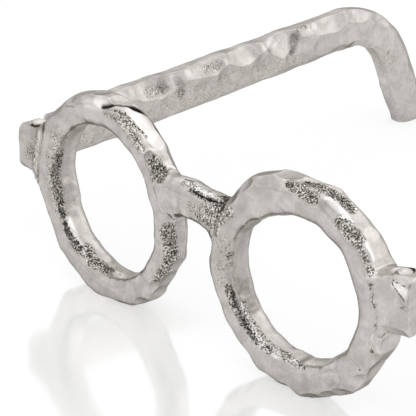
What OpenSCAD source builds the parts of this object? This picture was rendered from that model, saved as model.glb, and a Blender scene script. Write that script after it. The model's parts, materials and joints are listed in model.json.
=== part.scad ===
// Table sculpture of a pair of round spectacles, cast in pale metal and beaten by hand.
// X runs to the wearer's left, Y back along the temples, Z up from the table.

/* [Rims] */
// Outer radius of a rim before it is beaten flat in places
rim_r = 59; // [54:0.5:64]
// Radius of the open eye of a rim
eye_r = 41.5; // [37:0.5:44]
// Depth of a rim from front to back
rim_d = 19; // [15:0.5:24]
// Distance between the centres of the rims
rim_spacing = 141; // [132:1:156]
// Squareness of a rim's section, from an oval (2) to a block (6)
rim_square = 2.8; // [2:0.1:5]
// Angle that each half of the front turns back from the middle
wrap = 1.4; // [0:0.1:4]
// How much of a rim is ground away where it stands on the table
foot_cut = 3.5; // [2:0.25:5]

/* [Bridge] */
// Height of the bridge where it is thinnest, in the middle
bridge_h = 20; // [14:0.5:22]
// Height of the bridge where it meets a rim
bridge_end_h = 25; // [20:0.5:30]
// Depth of the bridge from front to back
bridge_d = 16; // [12:0.5:18]
// Squareness of the bridge's section, from an oval (2) to a block (6)
bridge_square = 2.8; // [2:0.1:5]
// How far the bridge arches up between its ends
bridge_rise = 4; // [0:0.5:8]
// How much lower it meets the right rim than the left one
bridge_sag = 1.6; // [0:0.2:3]
// Angle that its joints with the rims lean back
bridge_lean = 20; // [10:1:26]
// How much of a rim is ground away for the bridge
bridge_cut = 7; // [4:0.25:8]

/* [End pieces] */
// Reach of an end piece from its joint with the rim
end_reach = 21; // [17:0.5:28]
// How far the left end piece stands above the middle of its hinge
left_end_up = 11.5; // [11:0.5:20]
// How far the left end piece hangs below the middle of its hinge
left_end_down = 16.5; // [11:0.5:18]
// How far it stands above and hangs below at its joint with the rim
left_root_up = 19.5; // [12:0.5:21]
left_root_down = 19.5; // [17:0.5:21]
// How far the right end piece stands above the middle of its hinge
right_end_up = 17.5; // [11:0.5:20]
// How far the right end piece hangs below the middle of its hinge
right_end_down = 13.5; // [11:0.5:18]
// How far it stands above and hangs below at its joint with the rim
right_root_up = 12; // [12:0.5:21]
right_root_down = 19.5; // [17:0.5:21]
// Depth of an end piece from front to back
end_d = 18; // [16:0.5:22]
// Squareness of an end piece's section, from an oval (2) to a block (6)
end_square = 5; // [3:0.5:6]
// Radius of the outer edges of an end piece
edge_r = 2.5; // [1:0.25:4]
// Height of the middle of a hinge above the rim's centre
end_lift = 13; // [8:0.5:15]
// Angle that its joint with the rim leans
end_lean = 10; // [4:1:14]
// How much of a rim is ground away for the end piece
end_cut = 6; // [4:0.25:7]

/* [Temples] */
// Straight run of a temple to the middle of its bend
temple_run = 268; // [220:1:300]
// Height of a temple at its hinge
temple_hinge_h = 25; // [22:0.5:30]
// Greatest height of a temple, a little behind the rim
temple_h = 28; // [25:0.5:34]
// Height of a temple at its bend
temple_bend_h = 25.5; // [22:0.5:30]
// Thickness of a temple from side to side
temple_t = 14; // [11:0.5:18]
// Length over which a temple swells behind its hinge
temple_swell = 56; // [40:1:80]
// Squareness of a temple's section, from an oval (2) to a block (6)
temple_square = 3.4; // [2:0.1:5]
// Angle that a temple rises to the back
temple_rise = 2.1; // [0:0.1:5]
// Angle that a temple opens out from square with its half of the front
temple_splay = 1.4; // [0:0.1:3]
// Angle that the hook turns down
hook_angle = 66; // [50:1:80]
// Radius of the bend on its middle line
hook_r = 54; // [30:1:60]
// Width of the hook where it stands on the table
hook_w = 25.5; // [20:0.5:30]

/* [Hinges] */
// Diameter of a hinge pin
pin_d = 6; // [4:0.5:7]
// Diameter of the pin's domed head
pin_head_d = 7.5; // [6.5:0.25:9]
// Height of the pin's domed head
pin_head_h = 2.4; // [1.5:0.1:3]
// Width of the sunk ring round the pin's head
head_ring = 0.8; // [0.4:0.1:1.5]
// Depth of the sunk ring where it is shallowest
ring_depth = 0.4; // [0.2:0.1:1.2]
// Distance of the pin's axis from the outer face of the end piece
pin_inset = 9.5; // [8.5:0.25:12]
// Thickness of the tongue that the temple turns on
tongue_t = 9; // [6:0.5:11]
// Outer radius of the tongue's eye
tongue_r = 6; // [5.5:0.25:7]
// Angle that a temple swings inward
swing = 22; // [0:1:22]

/* [Dowels] */
// Diameter of the dowels in the joints of the front
dowel_d = 5; // [3:0.5:6]
// Length of a dowel
dowel_l = 10; // [8:0.5:12]
// Distance of each end-piece dowel from the middle of its joint
dowel_offset = 10; // [8:0.5:11]

/* [Fits] */
// Clearance round a pin or dowel that is driven in
seat_clear = 0.02; // [0.01:0.01:0.04]
// Clearance round a pin that the tongue turns on
run_clear = 0.06; // [0.03:0.01:0.1]
// Gap between the tongue and the cheeks of its slot
slot_clear = 0.3; // [0.2:0.05:0.5]
// Gap between a temple and the back of its end piece
butt_clear = 0.3; // [0.2:0.05:0.6]
// Film of solder between two pieces of the front
solder = 0.05; // [0.02:0.01:0.1]

/* [Hammering] */
// Depth of the blows along the upper edge of a temple
blow_depth = 3; // [0:0.1:4]
// Distance between two blows
blow_pitch = 31; // [24:1:40]
// Unevenness left in the bars
uneven = 0.7; // [0:0.1:1.2]
// Length of one full pattern of the unevenness along a temple
uneven_run = 180; // [120:10:240]

/* [Hidden] */
left = -1;
right = 1;
sides = [left, right];
metal = "#c6c1bb";
steel = "#8f8d8a";
big = 400;
rim_h = rim_r - foot_cut;
rim_x = rim_spacing / 2;
bridge_seat = rim_r - bridge_cut;
end_seat = rim_r - end_cut;
end_mid_z = rim_h + end_lift;
end_root_x = rim_x + (end_seat - end_lift * sin(end_lean)) / cos(end_lean);
end_x = end_root_x + end_reach;
pin_x = end_x - pin_inset;
butt_y = end_d / 2 + butt_clear;
hook_start = temple_run - hook_r * tan(hook_angle / 2);
bend_drop = hook_r * (1 - cos(hook_angle));
bend_run = hook_r * hook_angle * PI / 180;
bend_z = end_mid_z + temple_run * sin(temple_rise);
tip_angle = hook_angle - temple_rise;
hook_leg = (bend_z - bend_drop) / sin(tip_angle) + hook_w / 2;
hook_end = hook_start + bend_run + hook_leg;
tip_y = butt_y + temple_run * cos(temple_rise) + bend_z / tan(tip_angle);
mid_y = (tip_y + hook_w / 2 / sin(hook_angle) - rim_d / 2) / 2;
lap = 3;

// Flat places beaten on a rim, each with its direction and how deep it lies.
// Direction 0 points out to the end piece, 90 up and 180 to the bridge.
left_flats = [[22, 2], [48, 2.5], [72, 1], [95, 0.5], [124, 5], [150, 7], [182, 7], [212, 5.5],
              [238, 2.5], [262, 3], [300, 4], [333, 6.5]];
right_flats = [[30, 1.5], [58, 3], [90, 4], [112, 2], [140, 3.5], [168, 2.5], [205, 3.5], [233, 5],
               [262, 4], [297, 4.5], [330, 4]];
// Flat places beaten inside the eye, each with its direction and how deep it stands in the eye
left_eye_flats = [[150, 1], [285, 2], [312, 3.5], [342, 4]];
right_eye_flats = [[62, 1], [88, 3], [114, 5], [262, 2], [288, 3], [314, 3.5]];

// Numbers of points round a rim, round a section, and along the other castings
rim_steps = 54;
section_steps = 16;
bridge_steps = 16;
end_steps = 10;
temple_steps = 56;
fine = 48;

// Outline of a worn bar of the given squareness
function bar_section(w, h, square) = [for (k = [0:section_steps - 1])
    let (a = 360 * (k + 0.5) / section_steps, c = cos(a), s = sin(a))
    [sign(c) * pow(abs(c), 2 / square) * w / 2, sign(s) * pow(abs(s), 2 / square) * h / 2]];

// Slow unevenness of a bar: three long waves and seven lower short ones in a full turn of a
short_waves = 0.6;
function wander(a, seed) =
    uneven * (sin(3 * a + 70 * seed) + short_waves * sin(7 * a + 130 * seed)) / (1 + short_waves);

// Radius in direction a of a round of radius r with flat places beaten on it
function beaten(r, flats, a) = min([for (f = flats)
    let (c = cos(a - f[0])) c > 0 ? (r - f[1]) / c : r]);

// Points of a rim about its own centre, seen with the end piece at direction 0
function rim_rings(flats, eye_flats, seed) = [for (i = [0:rim_steps - 1])
    let (
        a = 360 * i / rim_steps,
        inner = min(eye_r, beaten(eye_r, eye_flats, a)) + wander(a, seed) / 2,
        outer = min(rim_r, beaten(rim_r, flats, a)),
        middle = (rim_r + inner) / 2)
    [for (q = bar_section(rim_r - inner, rim_d + wander(a + 90, seed), rim_square))
        let (r = min(middle + q[0], outer))
        [r * cos(a), q[1], r * sin(a)]]];

// Skin of a bar through its rings, closed on itself or capped at both ends
module bar(rings, closed = false) {
    n = len(rings);
    m = len(rings[0]);
    last = closed ? n - 1 : n - 2;
    walls = [for (i = [0:last], j = [0:m - 1])
        let (
            here = i * m,
            next = (i + 1) % n * m,
            k = (j + 1) % m)
        each [[here + j, next + k, here + k], [here + j, next + j, next + k]]];
    caps = closed ? [] : [[for (j = [0:m - 1]) j], [for (j = [m - 1:-1:0]) (n - 1) * m + j]];
    polyhedron(points = [for (r = rings) each r], faces = concat(walls, caps));
}

// Moves a piece modelled for the right half of the front to its side of the sculpture
module on_side(side) {
    translate([0, -mid_y, 0]) mirror([side == left ? 1 : 0, 0, 0]) rotate([0, 0, wrap]) children();
}

// Everything beyond a plane that stands off the rim's centre in one direction
module beyond(direction, distance) {
    translate([rim_x, 0, rim_h]) rotate([0, -direction, 0]) translate([distance, -big / 2, -big / 2])
        cube(big);
}

// Places a dowel's middle on a joint of the rim, its axis square to the joint
module at_joint(direction, distance, offset = 0) {
    translate([rim_x, 0, rim_h]) rotate([0, -direction, 0]) translate([distance, 0, offset])
        rotate([0, 90, 0]) children();
}

module dowel(clear = 0) {
    cylinder(d = dowel_d + 2 * clear, h = dowel_l + 2 * clear, center = true, $fn = fine);
}

module bridge_joint() {
    at_joint(180 - bridge_lean, bridge_seat) children();
}

module end_joint() {
    for (offset = [-dowel_offset, dowel_offset]) at_joint(end_lean, end_seat, offset) children();
}

module table() {
    translate([-big / 2, -big, -big]) cube([big * 2, big * 3, big]);
}

module rim(side, flats, eye_flats, seed) {
    color(metal) on_side(side) difference() {
        translate([rim_x, 0, rim_h]) bar(rim_rings(flats, eye_flats, seed), closed = true);
        beyond(180 - bridge_lean, bridge_seat);
        beyond(end_lean, end_seat);
        table();
        bridge_joint() dowel(seat_clear);
        end_joint() dowel(seat_clear);
    }
}

module left_rim() {
    rim(left, left_flats, left_eye_flats, 1);
}

module right_rim() {
    rim(right, right_flats, right_eye_flats, 2);
}

// X where the bridge meets the joint with the right rim, at a depth y and a height z
function bridge_joint_x(y, z) =
    let (local = rim_x - (bridge_seat + solder - sin(bridge_lean) * (z - rim_h)) / cos(bridge_lean))
    (local - y * sin(wrap)) / cos(wrap);

bridge_rings = [for (i = [0:bridge_steps])
    let (
        s = 2 * i / bridge_steps - 1,
        z = rim_h + bridge_seat * sin(bridge_lean) + bridge_rise * (1 - s * s)
            - bridge_sag * (1 + sin(90 * s)) / 2,
        h = bridge_h + (bridge_end_h - bridge_h) * pow(abs(s), 3))
    [for (q = bar_section(bridge_d + wander(180 * s, 3), h, bridge_square))
        [s * bridge_joint_x(q[0], z + q[1]), q[0], z + q[1]]]];

module bridge() {
    color(metal) difference() {
        translate([0, -mid_y, 0]) bar(bridge_rings);
        for (side = sides) on_side(side) bridge_joint() dowel(seat_clear);
    }
}

// X of the joint between rim and end piece at a height z above the table
function end_joint_x(z) =
    rim_x + (end_seat + solder - sin(end_lean) * (z - rim_h)) / cos(end_lean);

// How far an end piece stands above or below its hinge, at a share t of its reach
root_power = 2.2;
function stands(at_end, at_root, t) = at_end + (at_root - at_end) * pow(1 - t, root_power);

// Height of the pin head's seat above the middle of the hinge, below the sloping top all round
ring_r = pin_head_d / 2 + head_ring;
function head_seat(up, root_up) = min([for (out = [-ring_r, ring_r])
    stands(up, root_up, 1 - (pin_inset - edge_r - out) / (end_reach - edge_r))]) - ring_depth;

// The first rings run out along the reach, and the last three round the outer edge
function end_rings(up, down, root_up, root_down, seed) = concat(
    [for (i = [0:end_steps])
        let (
            t = i / end_steps,
            over = stands(up, root_up, t),
            under = stands(down, root_down, t),
            deep = end_d - wander(60 * t, seed) * t)
        [for (q = bar_section(deep, over + under, end_square))
            let (z = end_mid_z + (over - under) / 2 + q[1], root = end_joint_x(z))
            [root + (end_x - edge_r - root) * t, q[0], z]]],
    [for (a = [30, 60, 90])
        let (inset = 2 * edge_r * (1 - cos(a)))
        [for (q = bar_section(end_d - inset, up + down - inset, end_square))
            [end_x - edge_r + edge_r * sin(a), q[0], end_mid_z + (up - down) / 2 + q[1]]]]);

module at_pin() {
    translate([pin_x, 0, end_mid_z]) children();
}

// Plan of the tongue, from the pin's axis back to the temple
module tongue_plan(clear, reach) {
    circle(r = tongue_r + clear, $fn = fine);
    translate([-tongue_r - clear, 0]) square([2 * (tongue_r + clear), reach]);
}

// Room that the tongue sweeps, open at the back of the end piece
module slot() {
    at_pin() translate([0, 0, -tongue_t / 2 - slot_clear]) linear_extrude(tongue_t + 2 * slot_clear)
        for (turn = [0, swing]) rotate(turn) tongue_plan(2 * slot_clear, end_d);
}

module endpiece(side, up, down, root_up, root_down, seed) {
    color(metal) on_side(side) difference() {
        bar(end_rings(up, down, root_up, root_down, seed));
        slot();
        at_pin() cylinder(d = pin_d + 2 * seat_clear, h = big, center = true, $fn = fine);
        at_pin() translate([0, 0, head_seat(up, root_up)]) cylinder(r = ring_r, h = up, $fn = fine);
        end_joint() dowel(seat_clear);
    }
}

module left_endpiece() {
    endpiece(left, left_end_up, left_end_down, left_root_up, left_root_down, 4);
}

module right_endpiece() {
    endpiece(right, right_end_up, right_end_down, right_root_up, right_root_down, 5);
}

// Middle line of a temple at a distance s along it: back, up and the angle turned down
function temple_line(s) =
    s < hook_start ? [s, 0, 0]
    : let (turned = min((s - hook_start) / hook_r * 180 / PI, hook_angle),
           leg = max(0, s - hook_start - bend_run))
    [hook_start + hook_r * sin(turned) + leg * cos(turned),
     -hook_r * (1 - cos(turned)) - leg * sin(turned), turned];

// Height of a temple: it swells behind the hinge, then thins to the bend and on to the tip
function temple_height(s) = s < temple_swell
    ? temple_hinge_h + (temple_h - temple_hinge_h) * sin(90 * s / temple_swell)
    : lookup(s, [[temple_swell, temple_h], [hook_start, temple_bend_h], [hook_end, hook_w]]);

// Depth of the blows on the inner upper edge, a row of hollows that dies out at the hinge and the hook
function blow(s, first) = blow_depth * abs(cos(180 * (s + first) / blow_pitch))
    * max(0, min(1, s / blow_pitch, (hook_start + bend_run - s) / blow_pitch));

// How far up the inner face the blows stay off, as a share of the section
blow_free = 0.2;

function temple_rings(seed, first_blow) = [for (i = [0:temple_steps])
    let (
        s = hook_end * i / temple_steps,
        line = temple_line(s),
        turned = line[2] - temple_rise,
        back = line[0] * cos(temple_rise) - line[1] * sin(temple_rise),
        up = line[0] * sin(temple_rise) + line[1] * cos(temple_rise),
        h = temple_height(s) + wander(360 * s / uneven_run, seed),
        t = temple_t + wander(360 * s / uneven_run, seed + 1))
    [for (q = bar_section(h, t, temple_square))
        let (
            struck = blow(s, first_blow) * max(0, q[0] / h - q[1] / t - blow_free),
            x = q[1] + struck,
            v = q[0] - struck)
        [x, back + v * sin(turned), up + v * cos(turned)]]];

module temple(side, seed, first_blow) {
    color(metal) on_side(side) difference() {
        union() {
            difference() {
                translate([end_x - temple_t / 2, butt_y, end_mid_z]) rotate([0, 0, -temple_splay])
                    translate([0, -lap, 0]) bar(temple_rings(seed, first_blow));
                for (turn = [0, -swing]) at_pin() rotate([0, 0, turn])
                    translate([-big / 2, -big + butt_y, -big / 2]) cube(big);
            }
            at_pin() translate([0, 0, -tongue_t / 2]) linear_extrude(tongue_t)
                tongue_plan(0, butt_y + lap);
        }
        at_pin() cylinder(d = pin_d + 2 * run_clear, h = big, center = true, $fn = fine);
        table();
    }
}

module left_temple() {
    temple(left, 6, 19);
}

module right_temple() {
    temple(right, 8, 7);
}

module hinge_pin(side, seat, down) {
    color(steel) on_side(side) at_pin() {
        translate([0, 0, -down]) cylinder(d = pin_d, h = seat + down, $fn = fine);
        translate([0, 0, seat]) intersection() {
            cylinder(d = pin_head_d, h = pin_head_h, $fn = fine);
            translate([0, 0, pin_head_h - pin_head_d]) sphere(r = pin_head_d, $fn = fine);
        }
    }
}

module left_hinge_pin() {
    hinge_pin(left, head_seat(left_end_up, left_root_up), left_end_down);
}

module right_hinge_pin() {
    hinge_pin(right, head_seat(right_end_up, right_root_up), right_end_down);
}

module bridge_dowels() {
    color(steel) for (side = sides) on_side(side) bridge_joint() dowel();
}

module endpiece_dowels() {
    color(steel) for (side = sides) on_side(side) end_joint() dowel();
}

left_rim();
right_rim();
bridge();
left_endpiece();
right_endpiece();
left_temple();
right_temple();
left_hinge_pin();
right_hinge_pin();
bridge_dowels();
endpiece_dowels();
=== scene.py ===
import json
import math

import bpy
import numpy as np
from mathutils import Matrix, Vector, noise
from mathutils.bvhtree import BVHTree

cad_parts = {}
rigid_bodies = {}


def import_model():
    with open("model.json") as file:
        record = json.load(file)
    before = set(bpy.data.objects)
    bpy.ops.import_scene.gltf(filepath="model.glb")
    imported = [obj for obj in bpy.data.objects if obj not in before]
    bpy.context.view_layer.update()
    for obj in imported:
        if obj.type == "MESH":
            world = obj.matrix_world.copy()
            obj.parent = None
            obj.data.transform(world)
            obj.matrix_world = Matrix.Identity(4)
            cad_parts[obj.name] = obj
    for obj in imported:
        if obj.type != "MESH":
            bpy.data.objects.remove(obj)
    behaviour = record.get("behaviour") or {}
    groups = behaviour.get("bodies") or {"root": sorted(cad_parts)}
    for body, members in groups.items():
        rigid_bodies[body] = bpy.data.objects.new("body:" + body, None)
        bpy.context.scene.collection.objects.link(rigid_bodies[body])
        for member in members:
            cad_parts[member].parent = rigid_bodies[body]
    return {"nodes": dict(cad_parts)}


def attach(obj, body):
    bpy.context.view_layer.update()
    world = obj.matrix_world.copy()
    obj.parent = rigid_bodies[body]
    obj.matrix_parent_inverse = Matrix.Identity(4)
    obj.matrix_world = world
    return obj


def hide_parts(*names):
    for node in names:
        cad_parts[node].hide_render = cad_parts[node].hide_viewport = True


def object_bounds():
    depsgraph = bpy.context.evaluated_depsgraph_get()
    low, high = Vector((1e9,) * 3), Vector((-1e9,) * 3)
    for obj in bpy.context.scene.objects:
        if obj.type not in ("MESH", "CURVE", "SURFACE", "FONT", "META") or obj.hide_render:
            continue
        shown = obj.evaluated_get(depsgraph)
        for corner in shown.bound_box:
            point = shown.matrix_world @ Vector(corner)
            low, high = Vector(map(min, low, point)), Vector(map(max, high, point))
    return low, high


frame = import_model()
cadLow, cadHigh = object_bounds()
print("frame loaded")

mm = 0.001
left, right = -1, 1
sideNames = {left: "left", right: "right"}

# Sizes of the castings that several pieces share, in millimetres and degrees
front = {
    "rimRadius": 59, "eyeRadius": 41.5, "rimDepth": 19, "rimSpacing": 141, "wrap": 1.4, "footCut": 3.5,
    "bridgeLean": 20, "bridgeCut": 7, "endLean": 10, "endCut": 6, "endReach": 21, "endDepth": 18,
    "endLift": 13, "edgeRound": 2.5, "pinInset": 9.5, "buttGap": 0.3, "unevenness": 0.7, "shortWaves": 0.6,
    "middlePlane": -159.97,
}
rimX = front["rimSpacing"] / 2
rimZ = front["rimRadius"] - front["footCut"]
bridgeSeat = front["rimRadius"] - front["bridgeCut"]
endSeat = front["rimRadius"] - front["endCut"]
hingeZ = rimZ + front["endLift"]
endLean = math.radians(front["endLean"])
endRootX = rimX + (endSeat - front["endLift"] * math.sin(endLean)) / math.cos(endLean)
endX = endRootX + front["endReach"]
pinX = endX - front["pinInset"]
buttY = front["endDepth"] / 2 + front["buttGap"]

# What mould, hammer and torch leave on every bar, and the painted highlights and painted shade among its
# marks, in millimetres
casting = {
    # Marks: old skin, partly painted shade; burnish, partly painted highlights; dark cracks, partly
    # painted shade and painted shadow.
    "marks": ("skin", "shine", "soot"),
    "lumps": [[0.45, 13], [0.14, 6], [0.04, 2.4]], "seed": 1,  # height and size
    "skinHeight": 0.12, "skinSize": 1.7, "crackDepth": 0.9,
    "hollowSoot": 0.14, "hollowFrom": 0.02, "hollowSpan": 0.1, "ridgeFrom": 0.08, "ridgeSpan": 0.16,
    "cloudSoot": 0.09, "cloudSize": 8, "cloudSeed": 20, "cloudSpan": 0.35,
    "blowEnd": 2.5, "cutEnd": 2,  # where a blow or a cut ends, in reaches
    "fillet": 6, "besideShare": 0.7, "besideSlack": 0.3,  # a fillet stands only beside the other bar,
    "turnedFrom": 0.9, "turnedSpan": 0.6,  # where the two surfaces are turned from each other
    "boxBlend": 0.1, "sharpAngle": 38,
}


# Shapes of bars

def softMin(a, b, blend):  # the smaller of two values, with a rounded corner between them
    return 0.5 * (a + b - np.sqrt((a - b) ** 2 + blend ** 2))


def softStep(x):
    x = np.clip(x, 0, 1)
    return x * x * (3 - 2 * x)


def unitSection(squareness, aspect, count):  # evenly spaced points round a worn bar, one wide and one high
    turn = np.linspace(0, 2 * np.pi, 4 * 360 + 1)
    cosine, sine = np.cos(turn), np.sin(turn)
    x = np.sign(cosine) * np.abs(cosine) ** (2 / squareness) / 2
    y = np.sign(sine) * np.abs(sine) ** (2 / squareness) / 2
    length = np.concatenate([[0], np.cumsum(np.hypot(np.diff(x) * aspect, np.diff(y)))])
    at = np.linspace(0, length[-1], count, endpoint=False)
    return np.interp(at, length, x), np.interp(at, length, y)


def sectionOf(bar):  # the points round a bar and the turn of each in degrees
    x, y = unitSection(bar["squareness"], bar["aspect"], bar["columns"])
    return x, y, np.degrees(np.arctan2(y, x)) % 360


# Slow unevenness of a hand-made bar, in three long and seven short waves to a turn of 360 degrees
def wander(turn, seed):
    long = np.sin(np.radians(3 * turn + 70 * seed))
    short = np.sin(np.radians(7 * turn + 130 * seed))
    return front["unevenness"] * (long + front["shortWaves"] * short) / (1 + front["shortWaves"])


def toSide(points, side):  # from the right half of the front to its place in the sculpture
    wrap = math.radians(front["wrap"])
    x, y, z = points[..., 0], points[..., 1], points[..., 2]
    across, back = x * math.cos(wrap) - y * math.sin(wrap), x * math.sin(wrap) + y * math.cos(wrap)
    return np.stack([side * across, back + front["middlePlane"], z], -1)


def fromSide(points, side):  # the other way round
    wrap = math.radians(front["wrap"])
    across, back = side * points[..., 0], points[..., 1] - front["middlePlane"]
    x = across * math.cos(wrap) + back * math.sin(wrap)
    y = back * math.cos(wrap) - across * math.sin(wrap)
    return np.stack([x, y, points[..., 2]], -1)


def surfaceNormals(points, closed, outward):
    along = np.roll(points, -1, 0) - np.roll(points, 1, 0)
    if not closed:
        along[0], along[-1] = points[1] - points[0], points[-1] - points[-2]
    around = np.roll(points, -1, 1) - np.roll(points, 1, 1)
    normal = np.cross(along, around) * outward
    return normal / np.maximum(np.linalg.norm(normal, axis=2, keepdims=True), 1e-9)


def softClip(x, soften):  # x where it is positive, else nothing, with a rounded step between
    return np.where(x > soften, x, np.clip(x + soften, 0, None) ** 2 / (4 * soften))


# One blow of a round-faced hammer
def strike(points, normals, row, column, reach, depth, way=None, soften=0.15):
    ball = (reach ** 2 + depth ** 2) / (2 * depth)
    mark = points[row, column].copy()
    away = points - (mark + np.array(normals[row, column] if way is None else way) * (ball - depth))
    distance = np.linalg.norm(away, axis=2)
    near = softStep(casting["blowEnd"] - np.linalg.norm(points - mark, axis=2) / reach)
    push = softClip(ball - distance, soften) * near
    points += away / distance[..., None] * push[..., None]


# One cut of a ball cutter in a hollow side
def scoop(points, normals, row, column, reach, depth, soften=0.12):
    distance = np.linalg.norm(points - points[row, column], axis=2)
    push = softClip(depth * (1 - (distance / reach) ** 2), soften) * (distance < casting["cutEnd"] * reach)
    points -= normals[row, column] * push[..., None]


def noiseOver(points, size, seed):  # smooth noise from -1 to 1 with lumps of that size
    shift = Vector((17.3 * seed, 5.1 * seed, 9.7 * seed))  # each seed has its own place in the noise
    flat = points.reshape(-1, 3) / size
    return np.array([noise.noise(Vector(p) + shift) for p in flat]).reshape(points.shape[:-1])


def rowAt(along, place):
    return int(np.argmin(np.abs(along - place)))


def turnBetween(turn, other):  # the smaller angle between two turns in degrees
    return np.abs((turn - other + 180) % 360 - 180)


def columnAt(around, turn):
    return int(np.argmin(turnBetween(around, turn)))


# Sum of marks along lines of spots, each [place, turn], full to half a width and gone by one and a half
def traced(points, along, around, lines):
    marks = np.zeros(points.shape[:2])
    for width, strength, *spots in lines:
        line = [points[rowAt(along, place), columnAt(around, turn)] for place, turn in spots]
        distance = np.full(marks.shape, np.inf)
        for start, end in zip(line, line[1:] + line[-1:]):
            way = end - start
            share = np.clip((points - start) @ way / max(way @ way, 1e-9), 0, 1)
            away = np.linalg.norm(points - start - share[..., None] * way, axis=2)
            distance = np.minimum(distance, away)
        marks += strength * softStep(1.5 - distance / width)
    return marks


def gridFaces(rows, columns, closed):
    index = np.arange(rows * columns).reshape(rows, columns)
    nextRow = np.roll(index, -1, 0)
    if not closed:
        index, nextRow = index[:-1], nextRow[:-1]
    quads = np.stack([index, np.roll(index, -1, 1), np.roll(nextRow, -1, 1), nextRow], -1).reshape(-1, 4)
    return quads.tolist()


# The points of a bar, raised where they meet the other bar
def filleted(points, normals, other, otherNormals, otherClosed):
    radius = casting["fillet"]
    faces, otherWays = gridFaces(*other.shape[:2], otherClosed), otherNormals[:len(other)].reshape(-1, 3)
    tree = BVHTree.FromPolygons(other.reshape(-1, 3).tolist(), faces)
    low, high = other.min((0, 1)) - radius, other.max((0, 1)) + radius
    raised = points.copy()
    for row, column in np.argwhere(((points > low) & (points < high)).all(2)):
        spot, normal = points[row, column], normals[row, column]
        place, _, face, distance = tree.find_nearest(Vector(spot), radius)
        if place is None:
            continue
        way = otherWays[faces[face][0]]
        above = (spot - np.array(place)) @ way
        if abs(above) > casting["besideShare"] * distance - casting["besideSlack"]:
            lift = (math.sqrt(radius) - math.sqrt(max(above, radius / 4))) ** 2  # up to a quarter of it
            turned = softStep((casting["turnedFrom"] - normal @ way) / casting["turnedSpan"])
            raised[row, column] += normal * lift * turned
    return raised


# Adds the worn edge and the flat end after the last ring
def roundEnd(points, direction, radius, steps=5, flatShares=(0.85, 0.6, 0.35, 0.15)):
    ring = points[-1]
    centre = ring.mean(0)
    out = ring - centre
    size = np.linalg.norm(out, axis=1, keepdims=True)
    rings = []
    for angle in np.linspace(0, np.pi / 2, steps + 1)[1:]:
        smaller = centre + out * (1 - radius * (1 - math.cos(angle)) / size)
        rings.append(smaller + np.array(direction) * radius * math.sin(angle))
    top = centre + np.array(direction) * radius
    rings += [top + (rings[-1] - top) * share for share in flatShares]
    return np.concatenate([points, np.array(rings)])


# A mesh from rings of points, capped unless closed
def makePiece(name, points, marks, closed=False, flip=False):
    rows, columns = points.shape[:2]
    vertices, faces = points.reshape(-1, 3), gridFaces(rows, columns, closed)
    marks = {title: values.reshape(-1) for title, values in marks.items()}
    firstRing = np.arange(columns)
    caps = () if closed else ((firstRing, -1), ((rows - 1) * columns + firstRing, 1))
    for ring, order in caps:
        hub = len(vertices)
        vertices = np.concatenate([vertices, vertices[ring].mean(0)[None]])
        marks = {title: np.append(values, values[ring].mean()) for title, values in marks.items()}
        faces += [(a, b, hub)[::order] for a, b in zip(ring.tolist(), np.roll(ring, -1).tolist())]
    if flip:
        faces = [f[::-1] for f in faces]
    mesh = bpy.data.meshes.new(name)
    mesh.from_pydata((vertices * mm).tolist(), [], faces)
    for title, values in marks.items():
        mesh.attributes.new(title, "FLOAT", "POINT").data.foreach_set("value", values)
    mesh.polygons.foreach_set("use_smooth", [True] * len(mesh.polygons))
    mesh.update()
    piece = bpy.data.objects.new(name, mesh)
    bpy.context.scene.collection.objects.link(piece)
    return piece


# How far each spot lies below its neighbours, negative on ridges. Rings near the open ends aren't counted.
def hollows(points, normals, closed, step=2, firstRings=3, lastRings=14):
    beside = sum(np.roll(points, move, axis) for move in (-step, step) for axis in (0, 1)) / 4
    below = ((beside - points) * normals).sum(2)
    if not closed:
        below[:firstRings] = below[-lastRings:] = 0
    return below


def insideBox(points):  # held softly inside the CAD model's box and on the floor
    blend = casting["boxBlend"]
    points = softMin(points, np.array(cadHigh) / mm, blend)
    points[..., :2] = -softMin(-points[..., :2], -np.array(cadLow)[:2] / mm, blend)
    points[..., 2] = softClip(points[..., 2], blend) * (points[..., 2] > -blend)
    return points


# A bar with lumps, old skin, cracks, burnish and dark marks, among them painted highlights and painted
# shade. Its points can be ground clear of a neighbour.
def castBar(name, points, along, bar, own, outward, closed=False, clear=None):
    around = sectionOf(bar)[2]
    normals = surfaceNormals(points, closed, outward)
    marks = {title: np.clip(traced(points, along, around, own[title]), 0, 1) for title in casting["marks"]}
    below = hollows(points, normals, closed)
    ridges = softStep((-below - casting["ridgeFrom"]) / casting["ridgeSpan"])
    marks["shine"] = np.maximum(marks["shine"], own.get("ridgeShine", 0) * ridges)
    lumps = sum(height * noiseOver(points, size, casting["seed"]) for height, size in casting["lumps"])
    skinLumps = casting["skinHeight"] * marks["skin"] * noiseOver(points, casting["skinSize"], own["seed"])
    lumps += skinLumps - casting["crackDepth"] * marks["soot"]
    points = points + normals * lumps[..., None]
    if clear:
        points = clear(points)
    # Darker in the hollows of the surface and in random clouds, and painted shade along the ridges where a
    # table asks for it.
    creases = casting["hollowSoot"] * softStep((below - casting["hollowFrom"]) / casting["hollowSpan"])
    creases = np.maximum(creases, own.get("ridgeSoot", 0) * ridges)
    clouds = noiseOver(points, casting["cloudSize"], own["seed"] + casting["cloudSeed"])
    creases += casting["cloudSoot"] * softStep(clouds / casting["cloudSpan"])
    marks["soot"] = np.maximum(marks["soot"], creases)
    return makePiece(name, insideBox(points), marks, closed, flip=outward > 0)


def fit(piece, node, body):
    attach(piece, body)
    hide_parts(node)
    return piece


# Rims: flats are [direction, depth], with 0 degrees at the end piece, 90 up and 180 at the bridge.
# Turns round the section are in degrees with 0 outward, 90 back, 180 to the eye and 270 to the front.
# Old skin with some painted shade, burnish with painted highlights, and dark cracks with painted shade are
# lines of
# [width, strength, spots], a spot being [direction, turn]. Rows of blows are [turn, reach, depth], and
# they are scooped where they face the eye.
# The section is squarer beside the end piece than elsewhere.

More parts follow.
